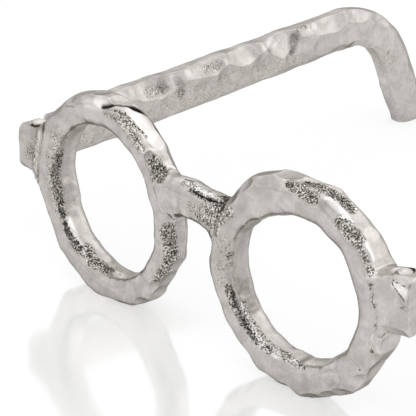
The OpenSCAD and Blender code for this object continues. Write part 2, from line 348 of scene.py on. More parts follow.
rims = {
    "rings": 540, "columns": 108, "aspect": 1, "flatBlend": 0.9, "squareness": 2.6, "endSquareness": 3.4,
    "squareReach": 2.4, "squareFade": 18, "seatBlend": 0.1, "seatRound": 0.3, "fullness": 0.5,
    "blowSpacing": 15, "blowDrift": 0.3, "reachSpread": (0.8, 1.2), "depthSpread": (0.4, 1.4),
    "scoopTurns": (130, 230), "endFree": 25,
    left: {
        "seed": 1, "ridgeShine": 0.35,
        "flats": [[22, 2], [48, 1.8], [72, 0.5], [95, 0], [124, 3.2], [150, 5.4], [182, 5.6], [212, 4.8],
                  [238, 1.5], [262, 2], [300, 2.2], [333, 4.6]],
        "eyeFlats": [[150, 0.5], [285, 1], [312, 2.6], [342, 2.8]],
        "skin": [[2.8, 0.4, [22, 212], [2, 216], [343, 222]],
                 [2, 0.8, [343, 222], [325, 226], [311, 230], [301, 226]],
                 [2.2, 0.55, [311, 228], [298, 219], [286, 217]],
                 [3, 0.5, [300, 198], [286, 200], [270, 202]],
                 [3.2, 0.4, [286, 217], [273, 207], [262, 205]],
                 [5.5, 0.25, [40, 240], [20, 225], [0, 225], [335, 225]],
                 [4, 0.8, [179, 320], [185, 332], [195, 335], [205, 330], [211, 325]],
                 [1.6, 0.5, [216, 312]], [2.6, 0.3, [97, 298], [108, 303], [119, 300], [130, 305]],
                 [2, 0.36, [108, 322], [116, 322], [124, 318]],
                 [3.2, 0.9, [138, 322], [144, 340], [147, 320]],
                 [0.8, 0.8, [103, 318], [109, 328], [117, 340], [125, 346]]],
        # The shine lines are painted highlights on burnished metal.
        "shine": [[1.8, 1, [327, 210], [316, 213], [307, 215], [300, 213]],
                  [2.8, 0.55, [80, 302], [88, 304], [92, 312]], [3.5, 0.7, [108, 352], [120, 5], [130, 8]],
                  [2.2, 0.5, [196, 350], [210, 345]],
                  [2.5, 0.8, [262, 198], [250, 204], [238, 214], [228, 230]],
                  [1.6, 0.7, [28, 300], [16, 296], [5, 292]]],
        # The soot lines are painted shade; the black line along the back edge is a painted shadow where
        # the rim passes in front of the temple.
        "soot": [[1.2, 1, [93, 308], [96, 317], [99, 330], [100, 348]],
                 [1.5, 1, [102, 355], [105, 2], [107, 12], [109, 24]],
                 [1.6, 1, [107, 14], [109, 26], [111, 40]], [2.4, 0.3, [18, 212], [2, 216], [346, 222]],
                 [1.1, 0.5, [336, 228], [318, 230], [308, 229]], [0.35, 0.5, [60, 300], [68, 292]],
                 [2.2, 0.4, [143, 345], [147, 322]],
                 [5, 0.16, [172, 335], [185, 0], [197, 12], [208, 12], [224, 18]],
                 [4, 0.2, [50, 192], [36, 190], [6, 186], [342, 188], [316, 186], [291, 186]]],
    },
    right: {
        "seed": 2, "ridgeShine": 0.35,
        "flats": [[30, 1.8], [58, 2], [90, 3.6], [112, 1.8], [140, 3], [168, 1.8], [205, 2], [233, 3.2],
                  [262, 3], [297, 3.6], [330, 3.8]],
        "eyeFlats": [[62, 1.6], [88, 4], [114, 6], [132, 3], [262, 2], [288, 3], [314, 3.8], [335, 2.5]],
        "skin": [[2.2, 0.9, [199, 236], [209, 234], [223, 228]],
                 [2, 0.7, [223, 228], [236, 226], [248, 221]],
                 [3, 0.45, [212, 212], [228, 210], [246, 209], [262, 207]],
                 [1.8, 0.8, [262, 210], [272, 211], [281, 220]],
                 [2.6, 0.85, [94, 320], [89, 317], [86, 313], [80, 310], [76, 307]],
                 [3, 1, [86, 350], [82, 0], [77, 350], [74, 357], [70, 353], [65, 0], [61, 10]],
                 [3.4, 0.75, [57, 313], [50, 313], [45, 315]], [1.8, 0.6, [41, 314], [34, 318]],
                 [1.6, 0.9, [30, 316], [26, 313]], [1, 0.8, [1, 290]], [1.4, 0.7, [347, 300]],
                 [1.2, 0.6, [331, 297]], [1.6, 0.5, [175, 222]],
                 [3.6, 0.4, [145, 288], [156, 297], [163, 300]], [7, 0.2, [168, 250], [190, 250]]],
        # The shine lines are painted highlights on burnished metal.
        "shine": [[2.2, 1, [213, 218], [224, 217], [238, 218], [256, 218]],
                  [1.8, 0.9, [264, 211], [280, 216]], [1.7, 1, [70, 326], [64, 328], [59, 331], [54, 330]],
                  [1.8, 0.8, [42, 326], [35, 328]],
                  [2.5, 0.7, [284, 198], [293, 198], [304, 212], [314, 226]],
                  [1.2, 0.6, [84, 345], [74, 340]]],
        # The soot lines are mostly painted shade on the faces and eye walls.
        "soot": [[2.4, 0.22, [86, 352], [77, 352], [70, 355], [62, 8]],
                 [0.9, 0.55, [202, 228], [215, 228], [230, 229], [238, 228]],
                 [2.6, 0.18, [52, 322], [44, 326]], [2.4, 0.16, [285, 256], [285, 287]],
                 [4, 0.2, [150, 186], [182, 184], [204, 184], [232, 186], [254, 188], [270, 178]],
                 [2.2, 0.25, [70, 304], [61, 310]], [3, 0.14, [159, 256], [148, 262], [137, 264]],
                 [3.5, 0.16, [306, 290], [314, 312]], [4, 0.12, [278, 285], [270, 270]],
                 [0.3, 0.22, [314, 280], [308, 297], [299, 307], [297, 287], [297, 260], [301, 240],
                  [309, 240], [315, 260], [314, 280]],
                 [0.3, 0.2, [309, 273], [304, 284], [301, 267], [307, 256], [309, 273]]],
    },
    "rows": [[0, 8.5, 1.1], [45, 7, 0.9], [90, 8, 0.4], [135, 6.5, 0.5], [180, 7.5, 0.6], [225, 6.5, 0.4],
             [270, 8, 0.25], [315, 7.5, 0.9]],
}


# Radius of a round with flat places beaten on it, each felt only where it faces the direction enough
def beaten(radius, flats, direction, blend, least=0.3):
    limit = np.full_like(direction, radius)
    for middle, depth in flats:
        facing = np.cos(np.radians(direction - middle))
        flat = np.where(facing > least, (radius - depth) / np.maximum(facing, least), 4 * radius)
        limit = softMin(limit, flat, blend)
    return limit


def rimPlaces():  # the direction of each ring from the rim's middle
    return np.arange(rims["rings"]) * 360 / rims["rings"]


def shapeRim(side):
    own, direction = rims[side], rimPlaces()
    fromEnd = turnBetween(direction, front["endLean"])
    toEnd = softStep(rims["squareReach"] - fromEnd / rims["squareFade"])[:, None]
    worn = np.array(unitSection(rims["squareness"], rims["aspect"], rims["columns"]))
    square = np.array(unitSection(rims["endSquareness"], rims["aspect"], rims["columns"]))
    unitX, unitY = (1 - toEnd) * worn[:, None] + toEnd * square[:, None]
    outer = beaten(front["rimRadius"] + rims["fullness"], own["flats"], direction, rims["flatBlend"])
    eye = beaten(front["eyeRadius"], own["eyeFlats"], direction, rims["flatBlend"])
    eye = eye + wander(direction, own["seed"]) / 2 - rims["fullness"]
    depth = front["rimDepth"] + wander(direction + 90, own["seed"])
    radius = ((outer + eye) / 2)[:, None] + unitX * (outer - eye)[:, None]
    seatFlat = [front["endLean"], 2 * front["rimRadius"] - endSeat]
    seat = beaten(2 * front["rimRadius"], [seatFlat], direction, rims["seatBlend"])
    radius = softMin(radius, seat[:, None], rims["seatRound"])
    angle = np.radians(direction)[:, None]
    x, z = rimX + radius * np.cos(angle), rimZ + radius * np.sin(angle)
    points = toSide(np.stack([x, unitY * depth[:, None], z], -1), side)
    beatRim(points, fromEnd, side)
    return points


def beatRim(points, fromEnd, side):  # rows of blows, but none beside the end piece
    around = sectionOf(rims)[2]
    normals = surfaceNormals(points, True, -side)
    chance = np.random.default_rng(rims[side]["seed"])
    count = round(2 * np.pi * front["rimRadius"] / rims["blowSpacing"])
    low, high = rims["scoopTurns"]
    for turn, size, most in rims["rows"]:
        column = columnAt(around, turn)
        blow = scoop if low < turn < high else strike
        for k in range(count):
            place = k + chance.uniform(-rims["blowDrift"], rims["blowDrift"]) + turn / 90  # staggered
            row = int(place / count * rims["rings"]) % rims["rings"]
            reach = size * chance.uniform(*rims["reachSpread"])
            deep = most * chance.uniform(*rims["depthSpread"])
            if fromEnd[row] > rims["endFree"]:
                blow(points, normals, row, column, reach, deep)


# Bridge: an arched bar let into the flats of the rims. Spots and blows start with their place along it,
# from -1 at the left rim to 1 at the right. Turns are 0 back, 90 up, 180 to the front and 270 down. Blows
# are [place, turn, reach, depth].

bridge = {
    "height": 20, "endHeight": 25, "depth": 16, "rise": 4, "sag": 1.6, "squareness": 2.5, "letIn": 3.5,
    "endPower": 3, "rings": 130, "columns": 108, "unevenTurn": 180, "seed": 3,
    "skin": [[2.6, 0.7, [-0.3, 104], [-0.1, 106], [0.2, 109], [0.55, 110]],
             [1.3, 1, [-0.05, 131], [0.3, 128], [0.6, 122]], [2.6, 1, [0.58, 86], [0.74, 108]],
             [2.6, 1, [0.62, 122], [0.84, 130]], [4.5, 0.27, [0.05, 180], [0.4, 172], [0.8, 168]],
             [2.4, 0.4, [0.3, 200], [0.7, 190]], [2.4, 0.8, [-0.9, 92], [-0.82, 112], [-0.8, 132]],
             [4, 0.35, [0.45, 150], [0.75, 148], [1, 150]]],
    # The shine line is a painted highlight along the top.
    "shine": [[2.4, 1, [-0.3, 103], [-0.12, 107], [0.15, 110], [0.5, 112]]],
    # The soot lines are mostly painted shade, darkest beside the highlight.
    "soot": [[2, 0.3, [-0.88, 98], [-0.82, 118], [-0.8, 130]],
             [0.6, 1, [-0.38, 91], [-0.3, 88], [-0.2, 85]],
             [0.6, 0.9, [0.0, 131], [0.25, 128], [0.4, 124]],
             [0.9, 1, [0.4, 124], [0.52, 119]], [1.6, 0.6, [0.6, 84], [0.72, 106]],
             [1.6, 0.5, [0.62, 124], [0.8, 128]]],
    "blows": [[-0.6, 185, 8, 0.5], [-0.1, 200, 9, 0.5], [0.45, 185, 9, 0.6], [-0.3, 115, 7, 0.5],
              [0.3, 100, 8, 0.8], [-0.35, 275, 8, 0.5], [0.4, 265, 8, 0.5], [-0.4, 0, 8, 0.5],
              [0.4, 10, 8, 0.5], [-0.7, 75, 6, 0.5], [0.05, 60, 7, 0.6]],
}
bridge["aspect"] = bridge["depth"] / bridge["height"]


def bridgeJointX(y, z):  # where the bridge meets the flat of a rim
    lean, wrap = math.radians(front["bridgeLean"]), math.radians(front["wrap"])
    local = rimX - (bridgeSeat - math.sin(lean) * (z - rimZ)) / math.cos(lean)
    return (local - y * math.sin(wrap)) / math.cos(wrap)


def bridgePlaces():
    return np.linspace(-1, 1, bridge["rings"])


def shapeBridge():
    along = bridgePlaces()
    unitX, unitY, around = sectionOf(bridge)
    lean = math.radians(front["bridgeLean"])
    middleZ = rimZ + bridgeSeat * math.sin(lean) + bridge["rise"] * (1 - along ** 2)
    middleZ -= bridge["sag"] * (1 + np.sin(along * np.pi / 2)) / 2
    fuller = (bridge["endHeight"] - bridge["height"]) * np.abs(along) ** bridge["endPower"]
    tall = bridge["height"] + fuller
    deep = bridge["depth"] + wander(bridge["unevenTurn"] * along, bridge["seed"])
    y = unitX * deep[:, None]
    z = middleZ[:, None] + unitY * tall[:, None]
    x = along[:, None] * (bridgeJointX(y, z) + bridge["letIn"])
    points = np.stack([x, y + front["middlePlane"], z], -1)
    normals = surfaceNormals(points, False, -1)
    for place, turn, reach, deep in bridge["blows"]:
        scoop(points, normals, rowAt(along, place), columnAt(around, turn), reach, deep)
    return points


# End pieces: blocks with a slot for the hinge tongue and a pin through both cheeks. Spots start with
# their share of the way out, and turns are those of the bridge. Up and down are heights from the middle
# of the hinge, at the outer end and, with root before them, at the joint with the rim. At the slot's
# height the back of a rim is kept free of fillets.

ends = {
    "squareness": 4.2, "height": 30, "rootPower": 2.2, "rings": 50, "columns": 140, "unevenTurn": 60,
    "rootFlush": 3.2, "flushPower": 1.5, "letIn": 0.5, "freeRings": 4,
    "freeHeight": 7.5, "freeFade": 2, "freeBack": 1, "freeBackFade": 3,
    "blowRings": (26, 45), "blowStep": 45, "blowDrift": 8, "blowReach": (6, 8), "blowDepth": (0.3, 0.6),
    # On the end pieces the shine lines are painted highlights, among them the right one's bright triangle,
    # and the soot lines painted shade.
    left: {"rootUp": 19.5, "up": 11.5, "rootDown": 19.5, "down": 16.5, "seed": 4,
           "skin": [[4, 0.25, [0.35, 180], [0.7, 190]], [2.4, 0.3, [0.5, 182]],
                    [6, 0.2, [0.2, 160], [0.2, 200]]],
           "shine": [[2.5, 0.6, [0.02, 150], [0.02, 210]]], "soot": [], "ringSoot": 1},
    right: {"rootUp": 12, "up": 17.5, "rootDown": 19.5, "down": 13.5, "seed": 5,
            "skin": [[1.4, 0.3, [0.9, 172], [1, 176]]],
            "shine": [[2, 1, [0.72, 142], [0.98, 145]], [1.8, 1, [0.84, 147], [0.98, 153]],
                      [4, 0.9, [0.05, 105], [0.4, 95]]],
            "soot": [[0.3, 0.9, [0.62, 140], [0.78, 149], [0.97, 162]],
                     [0.3, 0.6, [0.62, 136], [0.98, 139]], [3, 0.16, [0.98, 160], [0.98, 205]]],
            "ringSoot": 0.35},
    "tongueHeight": 9, "tongueRadius": 6, "tongueBore": 3.06, "slotGap": 0.3, "swing": 22, "lap": 3,
    "tongueEdge": 0.4, "tongueTurns": 72, "pinRadius": 3, "holeRoom": 0.02, "headRadius": 3.75,
    "ringWidth": 0.8, "ringDepth": 0.4, "ringSootReach": 0.9, "ringSootFade": 0.7, "ringSootFrom": 6,
    "through": 60, "backRoom": 0.05, "backBlend": 0.1,
}
ends["aspect"] = front["endDepth"] / ends["height"]


def endJointX(z):
    return rimX + (endSeat - math.sin(endLean) * (z - rimZ)) / math.cos(endLean)


# How far an end piece stands above or below its hinge, at a share of the way out
def stands(atEnd, atRoot, share):
    return atEnd + (atRoot - atEnd) * (1 - share) ** ends["rootPower"]


# A straight-walled cutter about a hinge pin, its plan in the right half's terms
def makePrism(plan, low, high, side):
    plan = np.array(plan)
    flat = np.concatenate([np.column_stack([plan, np.full(len(plan), z)]) for z in (low, high)])
    count = len(plan)
    walls = [(k, (k + 1) % count, (k + 1) % count + count, k + count) for k in range(count)]
    faces = walls + [tuple(range(count))[::-1], tuple(range(count, 2 * count))]
    if side == left:
        faces = [f[::-1] for f in faces]
    mesh = bpy.data.meshes.new("cutter")
    mesh.from_pydata((toSide(flat + [pinX, 0, hingeZ], side) * mm).tolist(), [], faces)
    return bpy.data.objects.new("cutter", mesh)


def circle(radius, count=64):
    turn = np.arange(count) * 2 * np.pi / count
    return [(radius * math.cos(t), radius * math.sin(t)) for t in turn]


def carve(piece, cutters):  # cuts their shapes out of the piece's own mesh
    scene = bpy.context.scene.collection.objects
    for cutter in cutters:
        scene.link(cutter)
        change = piece.modifiers.new("cut", "BOOLEAN")
        change.operation, change.solver, change.object = "DIFFERENCE", "EXACT", cutter
    bpy.context.view_layer.update()
    done = bpy.data.meshes.new_from_object(piece.evaluated_get(bpy.context.evaluated_depsgraph_get()))
    piece.modifiers.clear()
    piece.data = done
    for cutter in cutters:
        bpy.data.objects.remove(cutter)
    done.set_sharp_from_angle(angle=math.radians(casting["sharpAngle"]))


def pinSeat(own):  # height of the pin head's seat above the hinge, below the sloping top all round
    ring = ends["headRadius"] + ends["ringWidth"]
    straight = front["endReach"] - front["edgeRound"]
    shares = [1 - (front["pinInset"] - front["edgeRound"] - out) / straight for out in (-ring, ring)]
    return min(stands(own["up"], own["rootUp"], share) for share in shares) - ends["ringDepth"]


def slotPlan():  # room that the tongue sweeps, open at the back
    room, back = ends["tongueRadius"] + 2 * ends["slotGap"], front["endDepth"]
    swing = math.radians(ends["swing"])
    turns = np.linspace(2 * np.pi, np.pi + swing, 24)
    arc = [(room * math.cos(turn), room * math.sin(turn)) for turn in turns]
    inner = (arc[-1][0] - back * math.sin(swing), arc[-1][1] + back * math.cos(swing))
    return ([(room, back)] + arc + [inner])[::-1]


def sootRing(piece, side):  # soot in the sunk ring round the pin's head
    mesh = piece.data
    spots = np.empty(len(mesh.vertices) * 3)
    mesh.vertices.foreach_get("co", spots)
    spots = spots.reshape(-1, 3) / mm - toSide(np.array([pinX, 0, 0.0]), side)
    reach = ends["headRadius"] + ends["ringWidth"] + ends["ringSootReach"]
    near = softStep((reach - np.hypot(spots[:, 0], spots[:, 1])) / ends["ringSootFade"])
    near = near * (spots[:, 2] > hingeZ + ends["ringSootFrom"])
    near = near * ends[side]["ringSoot"]
    soot = mesh.attributes["soot"].data
    values = np.empty(len(soot))
    soot.foreach_get("value", values)
    soot.foreach_set("value", np.maximum(values, near))


def shapeEndPiece(side):
    own = ends[side]
    along = np.linspace(0, 1, ends["rings"])
    unitX, unitY, around = sectionOf(ends)
    over, under = stands(own["up"], own["rootUp"], along), stands(own["down"], own["rootDown"], along)
    deep = front["endDepth"] - wander(ends["unevenTurn"] * along, own["seed"]) * along
    flush = ends["rootFlush"] * (1 - along[:, None]) ** ends["flushPower"] * (unitX < 0)  # fuller in front
    y = unitX * (deep[:, None] + flush)
    z = (hingeZ + (over - under) / 2)[:, None] + unitY * (over + under)[:, None]
    root = endJointX(z) - ends["letIn"]
    x = root + (endX - front["edgeRound"] - root) * along[:, None]
    points = toSide(roundEnd(np.stack([x, y, z], -1), (1, 0, 0), front["edgeRound"]), side)
    normals = surfaceNormals(points, False, -side)
    chance = np.random.default_rng(own["seed"])
    for turn in range(0, 360, ends["blowStep"]):
        for row in ends["blowRings"]:
            column = columnAt(around, turn + chance.uniform(-ends["blowDrift"], ends["blowDrift"]))
            reach, deep = chance.uniform(*ends["blowReach"]), chance.uniform(*ends["blowDepth"])
            strike(points, normals, row, column, reach, deep)
    return points


def flatBack(points, side):  # keeps the back of an end piece clear of the temple's front end
    local = fromSide(points, side)
    local[..., 1] = softMin(local[..., 1], front["endDepth"] / 2 + ends["backRoom"], ends["backBlend"])
    return toSide(local, side)


def finishEndPiece(points, side):
    own, title = ends[side], sideNames[side]
    along = np.linspace(0, 1, ends["rings"])
    along = np.concatenate([along, np.ones(len(points) - len(along))])
    piece = castBar(title + "EndPiece", points, along, ends, own, -side,
                    clear=lambda bar: flatBack(bar, side))
    half, through = ends["tongueHeight"] / 2 + ends["slotGap"], ends["through"]
    hole = circle(ends["pinRadius"] + ends["holeRoom"])
    ring = circle(ends["headRadius"] + ends["ringWidth"])
    carve(piece, [makePrism(slotPlan(), -half, half, side), makePrism(hole, -through, through, side),
                  makePrism(ring, pinSeat(own), through, side)])
    sootRing(piece, side)
    return fit(piece, title + "_endpiece", "front")


def besideSlot(points):  # 1 at the back of a rim at the slot's height, where no fillet may stand
    level = softStep((ends["freeHeight"] - np.abs(points[..., 2] - hingeZ)) / ends["freeFade"])
    behind = points[..., 1] - front["middlePlane"] - ends["freeBack"]
    return (level * softStep(behind / ends["freeBackFade"]))[..., None]


def makeFront():  # rims, bridge and end pieces, each raised to its neighbours at the joints
    bar = joined = shapeBridge()
    barNormals = surfaceNormals(bar, False, -1)
    pieces = []
    for side in (left, right):
        rim, block = shapeRim(side), shapeEndPiece(side)
        rimNormals, blockNormals = surfaceNormals(rim, True, -side), surfaceNormals(block, False, -side)
        joined = filleted(joined, barNormals, rim, rimNormals, True)
        pieces.append(finishEndPiece(filleted(block, blockNormals, rim, rimNormals, True), side))
        rim = filleted(rim, rimNormals, bar, barNormals, False)
        raised = filleted(rim, rimNormals, block[:ends["rings"] - ends["freeRings"]], blockNormals, False)
        rim = raised + (rim - raised) * besideSlot(rim)
        piece = castBar(sideNames[side] + "Rim", rim, rimPlaces(), rims, rims[side], -side, closed=True)
        pieces.append(fit(piece, sideNames[side] + "_rim", "front"))
    piece = castBar("bridgeBar", joined, bridgePlaces(), bridge, bridge, -1)
    pieces.append(fit(piece, "bridge", "front"))
    return pieces


castings = makeFront()
print("front beaten")

# Temples: long bars beaten along the inner upper edge, bent down to a level-cut tip. Spots start with
# their distance from the front end. Turns are 0 up, 90 outward, 180 down and 270 inward. Single blows are
# [distance, reach, depth, lift, aside], the last two being how far up and how far to the front the hollow
# faces, in degrees. Rows of blows are [turn, reach, depth], and the hook has two rows of its own, the
# second with its blows a little further along. The bevel is the face ground on the inner upper edge.

temples = {
    "run": 268, "hingeHeight": 25, "height": 28, "bendHeight": 25.5, "swell": 56, "thickness": 14,
    "squareness": 3.2, "rise": 2.1, "splay": 1.4, "hookAngle": 66, "hookRadius": 54, "hookWidth": 25.5,
    "unevenRun": 180, "tipRound": 1.2, "rings": 440, "columns": 110, "bevelTilt": 22, "bevelUp": 6,
    "bevelDrop": 3, "bevelBlend": 0.3, "bevelStart": (5, 30), "bevelEnd": (20, 60), "clearBlend": 0.05,
    left: {"seed": 6, "ridgeSoot": 0.22,
           "upper": [[20, 10, 1.1, 22, 0], [44, 12, 1.5, 26, 0], [70, 14, 2.2, 28, -6],
                     [94, 12, 1.9, 18, 15], [114, 13, 2.2, 30, -6], [144, 14, 2.3, 30, -4],
                     [172, 11, 2.0, 30, -6], [189, 12, 1.9, 16, 15], [216, 15, 2.2, 30, -4],
                     [243, 12, 1.7, 27, -6]],
           "lower": [[56, 11, 1.4, -4, 0], [90, 12, 1.8, -3, 0], [114, 11, 1.7, 0, 0],
                     [134, 10, 1.8, 2, 0], [163, 13, 2.0, -3, 0], [193, 12, 1.8, 0, 0],
                     [216, 11, 1.5, -4, 0], [242, 11, 1.4, 0, 0]],
           # The skin lines here are mostly painted shade: grey patches on the facets and a faint band
           # along the lower inner side.
           "skin": [[3.6, 0.24, [72, 302], [84, 302]], [3, 0.2, [94, 304], [95, 275]],
                    [3.4, 0.26, [118, 306], [127, 308]], [2.8, 0.24, [190, 304], [188, 272]],
                    [2.4, 0.3, [195, 332], [200, 328]], [8, 0.17, [20, 250], [160, 252], [290, 255]]],
           # The shine lines are painted highlights on facets.
           "shine": [[2.2, 0.4, [88, 314], [102, 314]], [2.4, 0.4, [165, 312], [174, 312]],
                     [2, 0.4, [203, 318], [210, 320]]],
           # The soot lines are painted shade on facets and along the lower inner side.
           "soot": [[3.2, 0.16, [73, 298], [84, 296]], [2.8, 0.32, [94, 304], [96, 272]],
                    [3, 0.2, [118, 296], [128, 296]], [4, 0.3, [76, 324], [86, 300]],
                    [3, 0.14, [116, 328], [126, 310]], [4, 0.28, [155, 324], [158, 298]],
                    [3.5, 0.44, [190, 304], [188, 274]], [4, 0.2, [232, 326], [229, 298]],
                    [2, 0.18, [196, 330], [200, 330]], [5, 0.08, [48, 256], [60, 256]],
                    [5, 0.08, [108, 256], [118, 258]], [5, 0.08, [160, 258], [168, 258]],
                    [5, 0.08, [212, 262], [222, 262]], [7, 0.07, [300, 268], [345, 268]]]},
    right: {"seed": 8, "ridgeSoot": 0.22,
            "upper": [[28, 11, 1.4, 24, 0], [55, 13, 2.1, 28, -4], [80, 10, 1.7, 16, 20],
                      [106, 14, 2.2, 30, -4], [133, 12, 2.0, 28, -6], [160, 14, 2.2, 30, -4],
                      [187, 9, 1.6, 14, 20], [212, 14, 2.1, 29, -4], [240, 11, 1.6, 26, -4]],
            "lower": [[42, 11, 1.4, -3, 0], [70, 12, 1.7, 0, 0], [97, 12, 1.7, -3, 0],
                      [122, 11, 1.7, 2, 0], [148, 12, 1.8, 0, 0], [175, 12, 1.7, -3, 0],
                      [202, 12, 1.7, 0, 0], [230, 11, 1.4, -3, 0]],
            # The wide skin line along the lower inner side is painted shade.
            "skin": [[3, 0.5, [58, 300], [66, 304]], [2.4, 0.4, [140, 306], [146, 308]],
                     [2.2, 0.4, [187, 300], [187, 275]], [8, 0.2, [20, 250], [160, 252], [290, 255]]],
            "shine": [], "soot": []},
    "upperTurn": 306, "lowerTurn": 256, "blowBlend": 0.1,
    "rows": [[40, 11, 0.8], [90, 12, 0.7], [140, 11, 0.7], [180, 9, 0.6], [225, 10, 0.6], [0, 9, 0.5]],
    "rowStart": 18, "rowStep": 25, "rowDrift": 5, "tipFree": 12, "reachSpread": (0.85, 1.15),
    "depthSpread": (0.5, 1.2),
    "hook": {"start": 256, "step": 21, "drift": 3, "ahead": 9, "turns": (270, 315), "reaches": (11, 10),
             "depths": ((0.3, 0.7), (0.4, 0.9))},
}
temples["aspect"] = temples["height"] / temples["thickness"]
hookAngle, templeRise = math.radians(temples["hookAngle"]), math.radians(temples["rise"])
hookStart = temples["run"] - temples["hookRadius"] * math.tan(hookAngle / 2)
legStart = hookStart + temples["hookRadius"] * hookAngle


# Back, up and the angle turned down, at a distance along the middle line
def templeLine(distance):
    radius = temples["hookRadius"]
    turned = np.clip((distance - hookStart) / radius, 0, hookAngle)
    leg = np.maximum(0, distance - hookStart - radius * hookAngle)
    back = np.minimum(distance, hookStart) + radius * np.sin(turned) + leg * np.cos(turned)
    return back, -radius * (1 - np.cos(turned)) - leg * np.sin(turned), turned


# Grinds the front end of a temple to clear the end piece, straight back and swung in
def keepClear(points, side):
    local = fromSide(points, side)
    for swing in (0, math.radians(ends["swing"])):
        way = np.array([math.sin(swing), math.cos(swing)])
        reached = (local[..., 0] - pinX) * way[0] + local[..., 1] * way[1]
        short = softClip(buttY - reached, temples["clearBlend"])
        local[..., 0] += way[0] * short
        local[..., 1] += way[1] * short
    return toSide(local, side)


def makeTongue(side):  # rounded tongue with a bore for the pin
    turn = np.linspace(0, 2 * np.pi, ends["tongueTurns"], endpoint=False)
    radius, reach = ends["tongueRadius"], buttY + ends["lap"]
    cosine, sine = np.cos(turn), np.sin(turn)
    square = np.minimum(radius / np.maximum(np.abs(cosine), 1e-6), reach / np.maximum(sine, 1e-6))
    out = np.where(sine > 0, square, radius)
    half, edge, bore = ends["tongueHeight"] / 2, ends["tongueEdge"], np.full_like(turn, ends["tongueBore"])
    loops = [(bore, -half), (bore, half), (out - edge, half), (out, half - edge), (out, edge - half),
             (out - edge, -half)]
    rings = [np.stack([pinX + r * cosine, r * sine, np.full_like(turn, hingeZ + z)], -1) for r, z in loops]
    points = toSide(np.array(rings), side)
    marks = {title: np.zeros(points.shape[:2]) for title in casting["marks"]}
    tongue = makePiece(sideNames[side] + "Tongue", points, marks, closed=True, flip=side == right)
    tongue.data.set_sharp_from_angle(angle=math.radians(casting["sharpAngle"]))
    return fit(tongue, sideNames[side] + "_temple", sideNames[side] + "_arm")


def shapeTemple(side):  # a temple before it is beaten, and the distance of each ring along it
    own = temples[side]
    unitHigh, unitWide, _ = sectionOf(temples)
    back, up, turned = templeLine(np.array([legStart]))
    legZ = (hingeZ + back * math.sin(templeRise) + up * math.cos(templeRise))[0]
    tip = hookAngle - templeRise
    toFloor = legZ + unitHigh * temples["hookWidth"] * math.cos(tip) - temples["tipRound"]
    legLength = toFloor / math.sin(tip)
    along = np.linspace(0, legStart + legLength.mean(), temples["rings"])
    share = np.clip((along - legStart) / legLength.mean(), 0, 1)
    distance = np.minimum(along, legStart)[:, None] + share[:, None] * legLength[None, :]
    back, up, turned = templeLine(distance)
    tall = np.interp(along, [temples["swell"], hookStart, along[-1]],
                     [temples["height"], temples["bendHeight"], temples["hookWidth"]])
    swell = temples["height"] - temples["hingeHeight"]
    swell *= 1 - np.sin(np.clip(along / temples["swell"], 0, 1) * np.pi / 2)
    full = 360 / temples["unevenRun"]
    tall = tall - swell + wander(along * full, own["seed"]) * (1 - share)
    thick = temples["thickness"] + wander(along * full, own["seed"] + 1)
    high, wide = groundBevel(unitHigh * tall[:, None], unitWide * thick[:, None], along, thick)
    lean = turned - templeRise
    y = back * math.cos(templeRise) - up * math.sin(templeRise) + high * np.sin(lean)
    z = back * math.sin(templeRise) + up * math.cos(templeRise) + high * np.cos(lean)
    splay = math.radians(temples["splay"])
    local = np.stack([endX - temples["thickness"] / 2 + wide * math.cos(splay) + y * math.sin(splay),
                      buttY - wide * math.sin(splay) + (y - ends["lap"]) * math.cos(splay),
                      hingeZ + z], -1)
    points = keepClear(toSide(roundEnd(local, (0, 0, -1), temples["tipRound"]), side), side)
    return points, np.concatenate([along, np.full(len(points) - len(along), along[-1])])


def groundBevel(high, wide, along, thick):  # the section's points with the inner upper edge ground off
    tilt = math.radians(temples["bevelTilt"])
    (after, runIn), (before, runOut) = temples["bevelStart"], temples["bevelEnd"]
    fade = softStep((along - after) / runIn) * softStep((legStart + before - along) / runOut)
    above = high - temples["bevelUp"] - temples["bevelDrop"] * (1 - fade)[:, None]
    over = above * math.sin(tilt) - (wide + thick[:, None] / 2) * math.cos(tilt)
    ground = softClip(over, temples["bevelBlend"])
    return high - ground * math.sin(tilt), wide + ground * math.cos(tilt)


def beatTemple(points, along, side):
    around = sectionOf(temples)[2]
    normals = surfaceNormals(points, False, -side)
    chance = np.random.default_rng(temples[side]["seed"])
    drift, hook = temples["rowDrift"], temples["hook"]
    for turn, size, most in temples["rows"]:
        for place in np.arange(temples["rowStart"], along[-1] - temples["tipFree"], temples["rowStep"]):
            row = rowAt(along, place + chance.uniform(-drift, drift))
            reach = size * chance.uniform(*temples["reachSpread"])
            deep = most * chance.uniform(*temples["depthSpread"])
            strike(points, normals, row, columnAt(around, turn), reach, deep)
    for key in ("lower", "upper"):
        column = columnAt(around, temples[key + "Turn"])
        for place, reach, deep, lift, aside in temples[side][key]:
            up, aside = math.radians(lift), math.radians(aside)
            way = (-side * math.cos(up) * math.cos(aside), -math.cos(up) * math.sin(aside), math.sin(up))
            strike(points, normals, rowAt(along, place), column, reach, deep, way, temples["blowBlend"])
    for place in np.arange(hook["start"], along[-1] - temples["tipFree"], hook["step"]):
        first, second = (columnAt(around, turn) for turn in hook["turns"])
        row = rowAt(along, place + chance.uniform(-hook["drift"], hook["drift"]))
        strike(points, normals, row, first, hook["reaches"][0], chance.uniform(*hook["depths"][0]))
        row = rowAt(along, place + hook["ahead"])
        strike(points, normals, row, second, hook["reaches"][1], chance.uniform(*hook["depths"][1]))


def makeTemple(side):
    points, along = shapeTemple(side)
    beatTemple(points, along, side)
    piece = castBar(sideNames[side] + "Temple", points, along, temples, temples[side], -side,
                    clear=lambda bar: keepClear(bar, side))
    return fit(piece, sideNames[side] + "_temple", sideNames[side] + "_arm")


castings += [make(side) for side in (left, right) for make in (makeTemple, makeTongue)]
print("temples beaten")


# Finishes

